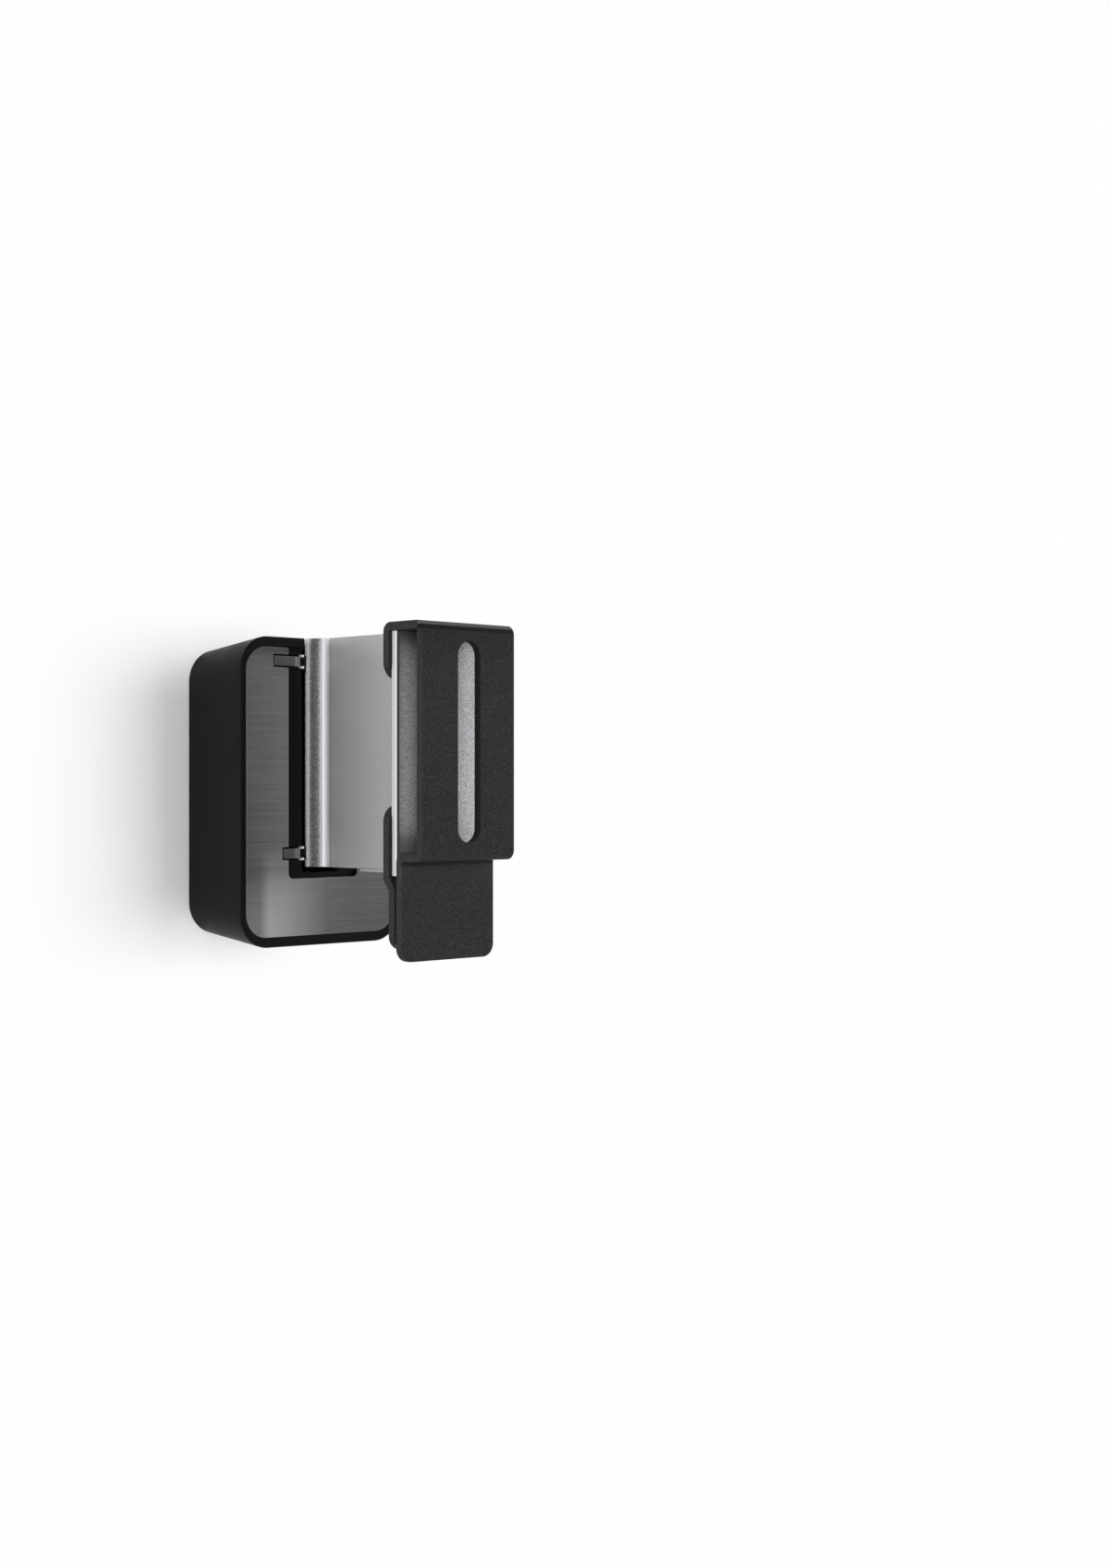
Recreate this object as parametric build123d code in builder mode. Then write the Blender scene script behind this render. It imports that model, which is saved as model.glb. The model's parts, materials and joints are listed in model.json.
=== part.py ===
from build123d import *

import math
import os

# Speaker wall bracket: a covered wall box, a swinging arm on a vertical hinge, and a
# folded plate that takes the speaker. Sizes are in millimetres. The wall is the plane
# Y = 0, the bracket reaches out towards -Y, X is to the right and Z is up. The origin
# is the middle of the face that lies on the wall.

# Cover
base_width = 63.2
base_height = 95.2
base_depth = 31.0
base_corner = 10.2
cover_draft = 5.5
cover_wall = 2.4
front_wall = 2.4
rim_width = 2.0
rim_height = 3.0
rim_bevel = 0.4
slot_gap = 2.6
slot_corner = 1.2
notch_corner = 1.6
snap_bead = 0.7
rib_thickness = 1.6
rib_height = 4.0
rib_inset = 20.0

# Trim plate, let into the cover's front
trim_thickness = 1.2
trim_sunk = 0.3
trim_gap = 0.1
cutout_width = 27.2
cutout_corner = 1.6
cutout_shift = 0.4
cutout_floor_gap = 3.4
window_gap = 0.4

# Wall plate
plate_thickness = 2.0
plate_gap = 0.15
plate_hole = 5.5
hole_spacing_x = 34.0
hole_spacing_z = 58.0

# Hinge
axis_inset = 1.7
barrel_radius = 4.6
barrel_fillet = 3.5
pin_diameter = 3.0
pin_recess = 0.5
swing_angle = 45.0
stop_margin = 1.5
lug_thickness = 3.1
lug_ceiling_gap = 0.4
lug_inset_bottom = 4.35
lug_reach_upper = 18.6
lug_reach_lower = 15.2
lug_end = 8.1
lug_bevel = 2.6
lug_bevel_depth = 0.9
block_right = 7.0
block_gap = 0.8
block_foot = 5.0
neck_width = 3.6
tenon_width = 6.0
tenon_height = 1.8
tenon_spacing = 13.0
tenon_gap = 0.05
fork_thickness = 0.8
fork_reach = 0.9
fork_lap = 1.0
fork_depth = 1.1
fork_overhang = 0.6
bush_wall = 0.6
bush_flange = 0.6
bush_flange_diameter = 6.2
eye_wall = 1.0
pocket_gap = 0.3
spring_thickness = 0.3
spring_height = 0.7
running_gap = 0.05

# Arm
arm_length = 71.0
arm_stand = 0.1
arm_reach = 54.2
web_thickness = 2.6
web_step = 0.9
web_step_reach = 21.1
head_width = 34.6
head_thickness = 3.1
head_fillet = 2.5
head_edge = 0.5
head_top_drop = 0.95
head_chamfer = 0.5

# Speaker plate
sheet = 2.5
sheet_bend = 1.6
speaker_plate_width = 36.2
ear_gap = 0.1
ear_length = 16.6
ear_corner = 5.0
ear_web_gap = 0.5
channel_depth = 9.0
clamp_overlap = 4.3
tab_length = 29.0
tab_corner = 4.0
slot_width = 8.5
slot_margin_top = 5.45
slot_margin_bottom = 5.3

# Rear clip and its fasteners
clip_rise = 20.7
clip_corner = 4.0
clip_tab_margin = 3.45
clip_clamp_gap = 0.8
joggle_height = 3.1
joggle_drop = 0.75
stud_diameter = 4.0
stud_spacing = 18.0
stud_flange_diameter = 6.5
stud_end = 1.0
stud_chamfer = 0.5
stud_hole_gap = 0.2
washer_diameter = 9.0
washer_thickness = 0.8
nut_width = 7.0
nut_height = 3.2
nut_crown = 6.65
nut_turning = 60.0
thread_gap = 0.03

# Heights that follow from the sizes above
arm_top = base_height / 2 + arm_stand
barrel_bottom = arm_top - arm_length
cutout_bottom = barrel_bottom - cutout_floor_gap
lug_lower = barrel_bottom + lug_inset_bottom
arm_bottom = barrel_bottom - web_step
head_top = arm_top - head_top_drop

# Distances from the wall that follow
recess_depth = trim_thickness + trim_sunk
trim_front = -(base_depth - trim_sunk)
recess_floor = -(base_depth - recess_depth)
axis_y = -(base_depth - axis_inset)
head_rear = axis_y - arm_reach
head_front = head_rear - head_thickness
ear_line = head_rear + ear_gap + sheet / 2
tab_line = head_front - sheet / 2
front_line = head_front - channel_depth - sheet / 2

# Outline of the cover where it meets the wall, and the room inside it
draft_slope = math.tan(math.radians(cover_draft))
back_width = base_width - 2 * base_depth * draft_slope
back_height = base_height - 2 * base_depth * draft_slope
room_width = back_width - 2 * cover_wall
room_height = back_height - 2 * cover_wall
room_corner = base_corner - cover_wall
recess_corner = base_corner - (rim_width + rim_height) / 2
slot_half = barrel_radius + slot_gap
lug_upper = room_height / 2 - lug_thickness / 2 - lug_ceiling_gap

# Parts of the hinge that fit on the pin
bush_radius = pin_diameter / 2 + running_gap + bush_wall
eye_radius = bush_radius + eye_wall
pocket_radius = eye_radius + pocket_gap
stack_half = lug_thickness / 2 + bush_flange + running_gap
spring_room = spring_height + running_gap
web_half = web_thickness / 2
fork_set = lug_thickness / 2 + fork_overhang

lugs = {"upper": (lug_upper, lug_reach_upper), "lower": (lug_lower, lug_reach_lower)}
pocket_floors = {"upper": lug_upper - stack_half - spring_room, "lower": lug_lower - stack_half}
front_plane = Plane.XZ.offset(base_depth)


def up_to(low, high):
    """Middle and length of the stretch between two heights."""
    return (low + high) / 2, high - low


def cover_outline(distance, inset):
    """Outline of the cover at a distance from the wall, or one that lies inside it by the inset."""
    growth = 2 * (distance * draft_slope - inset)
    RectangleRounded(back_width + growth, back_height + growth, base_corner - inset)


def lug_windows(right_edge, mode=Mode.ADD):
    """Openings that let the front edges of the hinge plates through."""
    for lug_z, reach in lugs.values():
        middle, length = up_to(-(reach + window_gap), right_edge)
        with Locations((middle, lug_z)):
            Rectangle(length, lug_thickness + 2 * window_gap, mode=mode)


# Cover: a tapered moulding, open at the wall, with a snap bead round its rear edge
with BuildPart() as cover:
    for distance, inset in ((0, 0), (base_depth - rim_bevel, 0), (base_depth, rim_bevel)):
        with BuildSketch(Plane.XZ.offset(distance)):
            cover_outline(distance, inset)
    loft(ruled=True)
    for distance in (snap_bead, base_depth - recess_depth - front_wall):
        with BuildSketch(Plane.XZ.offset(distance)):
            cover_outline(distance, cover_wall)
    loft(ruled=True, mode=Mode.SUBTRACT)
    for distance, inset in ((0, cover_wall + snap_bead), (snap_bead, cover_wall)):
        with BuildSketch(Plane.XZ.offset(distance)):
            cover_outline(distance, inset)
    loft(ruled=True, mode=Mode.SUBTRACT)
    # Recess for the trim plate
    with BuildSketch(front_plane):
        RectangleRounded(base_width - 2 * rim_width, base_height - 2 * rim_height, recess_corner)
    extrude(amount=-recess_depth, mode=Mode.SUBTRACT)
    # Slot for the barrel, open at the top
    slot_floor = (barrel_bottom + cutout_bottom) / 2
    slot_middle, slot_tall = up_to(slot_floor, base_height)
    with BuildSketch(front_plane):
        with Locations((0, slot_middle)):
            RectangleRounded(2 * slot_half, slot_tall, slot_corner)
    extrude(amount=-(axis_inset + barrel_radius + slot_gap), mode=Mode.SUBTRACT)
    notch_edges = cover.edges().filter_by(Axis.Y).filter_by(
        lambda e: abs(abs(e.center().X) - slot_half) < 0.01 and e.center().Z > base_height / 4
    )
    fillet(notch_edges.group_by(Axis.Z)[-1], notch_corner)
    # Openings for the hinge plates
    with BuildSketch(Plane.XZ.offset(-recess_floor)):
        lug_windows(slot_corner - slot_half)
    extrude(amount=-front_wall, mode=Mode.SUBTRACT)
    # Ribs along the side walls, which stop the cover on the wall plate
    rib_front = base_depth - recess_depth - front_wall / 2
    rib_back_x = room_width / 2 + cover_wall / 2
    rib_front_x = rib_back_x + rib_front * draft_slope
    rib_level = room_height / 2 - rib_inset
    for side in (-1, 1):
        for rib_z in (-rib_level, rib_level):
            with BuildSketch(Plane.XY.offset(rib_z - rib_thickness / 2)):
                with BuildLine():
                    Polyline(
                        (side * (room_width / 2 - rib_height), -plate_thickness),
                        (side * rib_back_x, -plate_thickness),
                        (side * rib_front_x, -rib_front),
                        (side * (room_width / 2 - rib_height), -rib_front),
                        close=True,
                    )
                make_face()
            extrude(amount=rib_thickness)
cover.part.label = "cover"

# Trim plate: brushed sheet with the cut-out round the hinge and a window for each lug
with BuildPart() as trim_plate:
    with BuildSketch(Plane.XZ.offset(-recess_floor)):
        RectangleRounded(
            base_width - 2 * (rim_width + trim_gap),
            base_height - 2 * (rim_height + trim_gap),
            recess_corner - trim_gap,
        )
        cut_middle, cut_tall = up_to(cutout_bottom, base_height)
        with Locations((cutout_shift, cut_middle)):
            RectangleRounded(cutout_width, cut_tall, cutout_corner, mode=Mode.SUBTRACT)
        lug_windows(cutout_shift + cutout_corner - cutout_width / 2, mode=Mode.SUBTRACT)
    extrude(amount=trim_thickness)
trim_plate.part.label = "trim_plate"

# Wall plate: flat steel with four screw holes and slots for the hinge plates' tenons
plate_width = room_width - 2 * plate_gap
plate_height = room_height - 2 * plate_gap
tenon_right = block_right - tenon_width / 2
tenon_places = [tenon_right - tenon_spacing, tenon_right]
with BuildPart() as wall_plate:
    with BuildSketch(Plane.XZ):
        RectangleRounded(plate_width, plate_height, room_corner)
    extrude(amount=plate_thickness)
    chamfer(wall_plate.faces().sort_by(Axis.Y)[-1].edges(), snap_bead + plate_gap / 2)
    with BuildSketch(Plane.XZ):
        with GridLocations(hole_spacing_x, hole_spacing_z, 2, 2):
            Circle(plate_hole / 2)
        for lug_z, lug_reach in lugs.values():
            for tenon_x in tenon_places:
                with Locations((tenon_x, lug_z - (lug_thickness - tenon_height) / 2)):
                    Rectangle(tenon_width + 2 * tenon_gap, tenon_height + 2 * tenon_gap)
    extrude(amount=plate_thickness, mode=Mode.SUBTRACT)
wall_plate.part.label = "wall_plate"


def make_hinge_plate(height, reach):
    """Flat steel lug: its front edge shows in the trim, its eye holds the hinge pin from behind."""
    block_front = axis_y + barrel_radius + block_gap
    with BuildPart() as lug:
        with BuildSketch(Plane.XY.offset(height - lug_thickness / 2)):
            with BuildLine():
                Polyline(
                    (-reach, -plate_thickness),
                    (-reach, trim_front),
                    (-lug_end - lug_bevel, trim_front),
                    (-lug_end, trim_front + lug_bevel_depth),
                    (-lug_end, block_front),
                    (block_right, block_front),
                    (block_right + block_foot, -plate_thickness),
                    close=True,
                )
            make_face()
            neck_middle, neck_length = up_to(axis_y, block_front + block_gap)
            with Locations((0, neck_middle)):
                Rectangle(neck_width, neck_length)
            with Locations((0, axis_y)):
                Circle(eye_radius)
                Circle(bush_radius, mode=Mode.SUBTRACT)
        extrude(amount=lug_thickness)
        with BuildSketch(Plane.XY.offset(height - lug_thickness / 2)):
            with Locations(*[(tenon_x, -plate_thickness / 2) for tenon_x in tenon_places]):
                Rectangle(tenon_width, plate_thickness)
        extrude(amount=tenon_height)
        # Forked lips that guide the side of the barrel
        fork_middle, fork_length = up_to(-lug_end - fork_lap, -lug_end + fork_reach)
        with BuildSketch(Plane.XZ.offset(-trim_front)):
            with Locations((fork_middle, height - fork_set + fork_thickness / 2)):
                Rectangle(fork_length, fork_thickness)
            with Locations((fork_middle, height + fork_set - fork_thickness / 2)):
                Rectangle(fork_length, fork_thickness)
        extrude(amount=-fork_depth)
    return lug.part


hinge_plates = {name: make_hinge_plate(*place) for name, place in lugs.items()}

# Arm: an aluminium extrusion of barrel, web and head plate, then cut to shape at its ends
with BuildPart() as arm:
    with BuildSketch(Plane.XY.offset(arm_bottom)) as arm_section:
        with Locations((0, axis_y)):
            Circle(barrel_radius)
        web_middle, web_length = up_to(head_front, axis_y)
        with Locations((0, web_middle)):
            Rectangle(web_thickness, web_length)
        with Locations((0, head_rear - head_thickness / 2)):
            Rectangle(head_width, head_thickness)
        roots = arm_section.vertices().filter_by(lambda v: abs(abs(v.X) - web_half) < 0.001)
        fillet(roots.group_by(Axis.Y)[-1], barrel_fillet)
        roots = arm_section.vertices().filter_by(lambda v: abs(abs(v.X) - web_half) < 0.001)
        fillet(roots.group_by(Axis.Y)[0], head_fillet)
        corners = arm_section.vertices().filter_by(lambda v: abs(abs(v.X) - head_width / 2) < 0.001)
        fillet(corners, head_edge)
    extrude(amount=arm_top - arm_bottom)
    # The head is cut lower than the web at the top, and the barrel ends higher than the web below
    with BuildSketch(Plane.XY.offset(head_top)):
        with Locations((0, head_rear - head_thickness)):
            Rectangle(2 * head_width, 2 * head_thickness)
    extrude(amount=base_height, mode=Mode.SUBTRACT)
    step_middle, step_length = up_to(axis_y - web_step_reach, axis_y + 2 * barrel_radius)
    with BuildSketch(Plane.XY.offset(barrel_bottom)):
        with Locations((0, step_middle)):
            Rectangle(4 * barrel_radius, step_length)
    extrude(amount=-2 * web_step, mode=Mode.SUBTRACT)
    # Bevel along the head's upper rear edge, which clears the fold of the plate
    with BuildSketch(Plane.YZ):
        with BuildLine():
            Polyline(
                (head_rear, head_top),
                (head_rear, head_top - head_chamfer),
                (head_rear - head_chamfer, head_top),
                close=True,
            )
        make_face()
    extrude(amount=head_width, both=True, mode=Mode.SUBTRACT)
    # Bore for the pin, and a pocket for each lug's eye, open behind for the swing
    with BuildSketch(Plane.XY.offset(barrel_bottom)):
        with Locations((0, axis_y)):
            Circle(pin_diameter / 2)
    extrude(amount=arm_length, mode=Mode.SUBTRACT)
    swing_reach = 2 * barrel_radius
    neck_room = neck_width + 2 * pocket_gap
    for name, (lug_z, reach) in lugs.items():
        with BuildSketch(Plane.XY.offset(pocket_floors[name])):
            with Locations((0, axis_y)):
                Circle(pocket_radius)
            for swing in (-1, 1):
                turned = Location((0, axis_y), swing * (swing_angle + stop_margin))
                with Locations(turned):
                    Rectangle(neck_room, swing_reach, align=(Align.CENTER, Align.MIN))
            with Locations((0, axis_y)):
                Rectangle(neck_room, swing_reach, align=(Align.CENTER, Align.MIN))
            with BuildLine():
                tip = swing_reach * math.tan(math.radians(swing_angle))
                Polyline((0, axis_y), (tip, axis_y + swing_reach), (-tip, axis_y + swing_reach), close=True)
            make_face()
        extrude(amount=lug_z + stack_half - pocket_floors[name], mode=Mode.SUBTRACT)
arm.part.label = "arm"

# Hinge pin: pressed into the barrel, a little short of its ends
with BuildPart() as hinge_pin:
    with BuildSketch(Plane.XY.offset(barrel_bottom + pin_recess)):
        with Locations((0, axis_y)):
            Circle(pin_diameter / 2)
    extrude(amount=arm_length - 2 * pin_recess)
    chamfer(hinge_pin.edges(), pin_recess / 2)
hinge_pin.part.label = "hinge_pin"


def make_bush(height, facing):
    """Flanged bush, pressed halfway into an eye from above (facing 1) or below (facing -1)."""
    face = height + facing * lug_thickness / 2
    with BuildPart() as bush:
        with BuildSketch(Plane.XY.offset(face)):
            with Locations((0, axis_y)):
                Circle(bush_flange_diameter / 2)
        extrude(amount=facing * bush_flange)
        with BuildSketch(Plane.XY.offset(face)):
            with Locations((0, axis_y)):
                Circle(bush_radius)
        extrude(amount=-facing * lug_thickness / 2)
        with BuildSketch(Plane.XY.offset(height - lug_thickness)):
            with Locations((0, axis_y)):
                Circle(pin_diameter / 2 + running_gap)
        extrude(amount=2 * lug_thickness, mode=Mode.SUBTRACT)
    return bush.part


bushes = [make_bush(height, facing) for height, reach in lugs.values() for facing in (1, -1)]

# Dished spring washer under the upper lug, which takes up the play and holds the arm by friction
with BuildPart() as disc_spring:
    spring_low = pocket_floors["upper"]
    spring_inner = pin_diameter / 2 + 2 * running_gap
    spring_outer = bush_flange_diameter / 2
    with BuildSketch(Plane.XZ.offset(-axis_y)):
        with BuildLine():
            Polyline(
                (spring_outer, spring_low),
                (spring_outer, spring_low + spring_thickness),
                (spring_inner, spring_low + spring_height),
                (spring_inner, spring_low + spring_height - spring_thickness),
                close=True,
            )
        make_face()
    revolve(axis=Axis((0, axis_y, 0), (0, 0, 1)))
disc_spring.part.label = "disc_spring"

# Speaker plate: one folded sheet, from the rear ears over the top, down the front and back to the tab
plate_top = head_top + sheet
plate_bottom = arm_bottom + clamp_overlap
tab_bottom = plate_bottom - tab_length
ear_bottom = plate_top - ear_length
ear_inner = web_half + head_fillet + ear_web_gap
with BuildPart() as speaker_plate:
    with BuildSketch(Plane.YZ):
        with BuildLine():
            FilletPolyline(
                (ear_line, ear_bottom),
                (ear_line, plate_top - sheet / 2),
                (front_line, plate_top - sheet / 2),
                (front_line, plate_bottom + sheet / 2),
                (tab_line, plate_bottom + sheet / 2),
                (tab_line, tab_bottom),
                radius=sheet_bend,
            )
        trace(line_width=sheet)
    extrude(amount=speaker_plate_width / 2, both=True)
    # Gap between the ears for the web
    gap_middle, gap_length = up_to(head_rear - ear_web_gap, axis_y)
    with BuildSketch(Plane.XY.offset(plate_top)):
        with Locations((0, gap_middle)):
            Rectangle(2 * ear_inner, gap_length)
    extrude(amount=-2 * ear_length, mode=Mode.SUBTRACT)
    # Slot for the speaker's bolt
    slot_top = plate_top - slot_margin_top
    slot_bottom = plate_bottom + slot_margin_bottom
    bolt_slot_middle, bolt_slot_length = up_to(slot_bottom, slot_top)
    with BuildSketch(Plane.XZ.offset(-front_line)):
        with Locations((0, bolt_slot_middle)):
            SlotOverall(bolt_slot_length, slot_width, rotation=90)
    extrude(amount=sheet, both=True, mode=Mode.SUBTRACT)
    outer_edges = speaker_plate.edges().filter_by(Axis.Y).filter_by(
        lambda e: abs(abs(e.center().X) - speaker_plate_width / 2) < 0.001
    )
    fillet(outer_edges.filter_by(lambda e: abs(e.center().Z - ear_bottom) < 0.001), ear_corner)
    fillet(outer_edges.filter_by(lambda e: abs(e.center().Z - tab_bottom) < 0.001), tab_corner)
speaker_plate.part.label = "speaker_plate"

# Rear clip: a forked sheet that straddles the web and steps forward below the head plate
clip_line = head_front + clip_clamp_gap + sheet / 2
joggle_top = arm_bottom - joggle_drop
clip_bottom = tab_bottom + clip_tab_margin
stud_height = (joggle_top - joggle_height + clip_bottom) / 2
stud_places = {"left": -stud_spacing / 2, "right": stud_spacing / 2}
with BuildPart() as rear_clip:
    with BuildSketch(Plane.YZ):
        with BuildLine():
            FilletPolyline(
                (ear_line, arm_bottom + clip_rise),
                (ear_line, joggle_top),
                (clip_line, joggle_top - joggle_height),
                (clip_line, clip_bottom),
                radius=sheet_bend,
            )
        trace(line_width=sheet)
    extrude(amount=speaker_plate_width / 2, both=True)
    clip_edges = rear_clip.edges().filter_by(Axis.Y)
    fillet(clip_edges.group_by(Axis.Z)[-1], ear_corner)
    clip_edges = rear_clip.edges().filter_by(Axis.Y)
    fillet(clip_edges.group_by(Axis.Z)[0], clip_corner)
    fork_gap_middle, fork_gap_length = up_to(arm_bottom - ear_web_gap, arm_top)
    with BuildSketch(Plane.XZ.offset(-ear_line)):
        with Locations((0, fork_gap_middle)):
            Rectangle(2 * ear_inner, fork_gap_length)
    extrude(amount=2 * sheet, both=True, mode=Mode.SUBTRACT)
    with BuildSketch(Plane.XZ.offset(-clip_line)):
        with Locations(*[(stud_x, stud_height) for stud_x in stud_places.values()]):
            Circle(stud_diameter / 2 + stud_hole_gap)
    extrude(amount=sheet, both=True, mode=Mode.SUBTRACT)
rear_clip.part.label = "rear_clip"

# Fasteners of the clip: weld studs on the tab, with a washer and a nut behind the clip
clip_back = clip_line + sheet / 2
nut_seat = clip_back + washer_thickness
stud_tip = nut_seat + nut_height + stud_end


def make_stud(stud_x):
    """Weld stud, with its flange on the back of the tab and its shank through the clip."""
    with BuildPart() as stud:
        with BuildSketch(Plane.XZ.offset(-head_front)):
            with Locations((stud_x, stud_height)):
                Circle(stud_flange_diameter / 2)
        extrude(amount=-clip_clamp_gap)
        with BuildSketch(Plane.XZ.offset(-head_front)):
            with Locations((stud_x, stud_height)):
                Circle(stud_diameter / 2)
        extrude(amount=head_front - stud_tip)
        chamfer(stud.faces().sort_by(Axis.Y)[-1].edges(), stud_chamfer)
    return stud.part


def make_washer(stud_x):
    """Plain washer against the back of the clip."""
    with BuildPart() as washer:
        with BuildSketch(Plane.XZ.offset(-clip_back)):
            with Locations((stud_x, stud_height)):
                Circle(washer_diameter / 2)
                Circle(stud_diameter / 2 + stud_hole_gap, mode=Mode.SUBTRACT)
        extrude(amount=-washer_thickness)
    return washer.part


def make_nut(stud_x):
    """Hexagon nut, with the corners of its outer face turned off."""
    with BuildPart() as nut:
        with BuildSketch(Plane.XZ.offset(-nut_seat)):
            with Locations((stud_x, stud_height)):
                RegularPolygon(nut_width / 2, 6, major_radius=False)
                Circle(stud_diameter / 2 + thread_gap, mode=Mode.SUBTRACT)
        extrude(amount=-nut_height)
        with BuildSketch(Plane.XZ.offset(-nut_seat - nut_height)):
            with Locations((stud_x, stud_height)):
                Circle(nut_crown / 2)
        extrude(amount=nut_height, taper=-nut_turning, mode=Mode.INTERSECT)
    return nut.part


# One file for each piece
pieces = {
    "cover": cover.part,
    "trim_plate": trim_plate.part,
    "wall_plate": wall_plate.part,
    "arm": arm.part,
    "hinge_pin": hinge_pin.part,
    "disc_spring": disc_spring.part,
    "speaker_plate": speaker_plate.part,
    "rear_clip": rear_clip.part,
}
for name, lug_part in hinge_plates.items():
    pieces[f"hinge_plate_{name}"] = lug_part
for number, bush_part in enumerate(bushes, start=1):
    pieces[f"hinge_bush_{number}"] = bush_part
for side_name, stud_x in stud_places.items():
    pieces[f"clamp_stud_{side_name}"] = make_stud(stud_x)
    pieces[f"clamp_washer_{side_name}"] = make_washer(stud_x)
    pieces[f"clamp_nut_{side_name}"] = make_nut(stud_x)

os.makedirs("parts", exist_ok=True)
for name, piece in pieces.items():
    piece.label = name
    export_step(piece, f"parts/{name}.step")
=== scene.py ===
import json
import math

import bmesh
import bpy
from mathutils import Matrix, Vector


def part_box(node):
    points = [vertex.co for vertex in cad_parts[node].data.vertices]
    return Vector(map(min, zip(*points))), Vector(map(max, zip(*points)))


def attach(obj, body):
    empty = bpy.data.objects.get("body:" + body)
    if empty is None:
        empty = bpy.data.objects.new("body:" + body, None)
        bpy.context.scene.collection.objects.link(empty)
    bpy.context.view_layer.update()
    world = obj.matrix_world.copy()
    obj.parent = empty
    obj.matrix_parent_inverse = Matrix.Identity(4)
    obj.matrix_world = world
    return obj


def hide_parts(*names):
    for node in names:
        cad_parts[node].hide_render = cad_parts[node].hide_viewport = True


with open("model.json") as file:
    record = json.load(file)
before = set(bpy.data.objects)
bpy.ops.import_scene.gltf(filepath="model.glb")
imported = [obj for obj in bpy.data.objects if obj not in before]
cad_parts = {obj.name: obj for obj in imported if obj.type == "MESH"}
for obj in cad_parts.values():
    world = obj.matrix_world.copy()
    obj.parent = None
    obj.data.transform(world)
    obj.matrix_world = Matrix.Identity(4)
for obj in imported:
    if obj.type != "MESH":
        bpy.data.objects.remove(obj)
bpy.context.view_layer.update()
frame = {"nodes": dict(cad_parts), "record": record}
cadNodes = frame["nodes"]
mm = 0.001
scene = bpy.context.scene
scene.view_settings.view_transform = "Standard"
print("frame loaded:", len(cadNodes), "nodes")


# Shader maths: a Wire is one output socket, and sums of wires add Math nodes to their Net

usualNoise = (0.3, 0.7)               # span that holds nearly all of a noise
obliqueTurn = (0.61, 0.37, 0.83)      # radians, keeps a noise's cells off flat faces


class Wire:
    def __init__(self, net, socket):
        self.net = net
        self.socket = socket

    def math(self, operation, *values):
        return self.net.add("ShaderNodeMath", {"operation": operation}, dict(enumerate(values)))

    def __add__(self, other):
        return self.math("ADD", self, other)

    def __sub__(self, other):
        return self.math("SUBTRACT", self, other)

    def __rsub__(self, other):
        return self.math("SUBTRACT", other, self)

    def __mul__(self, other):
        return self.math("MULTIPLY", self, other)

    def __truediv__(self, other):
        return self.math("DIVIDE", self, other)

    def __abs__(self):
        return self.math("ABSOLUTE", self)

    __radd__ = __add__
    __rmul__ = __mul__


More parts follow.
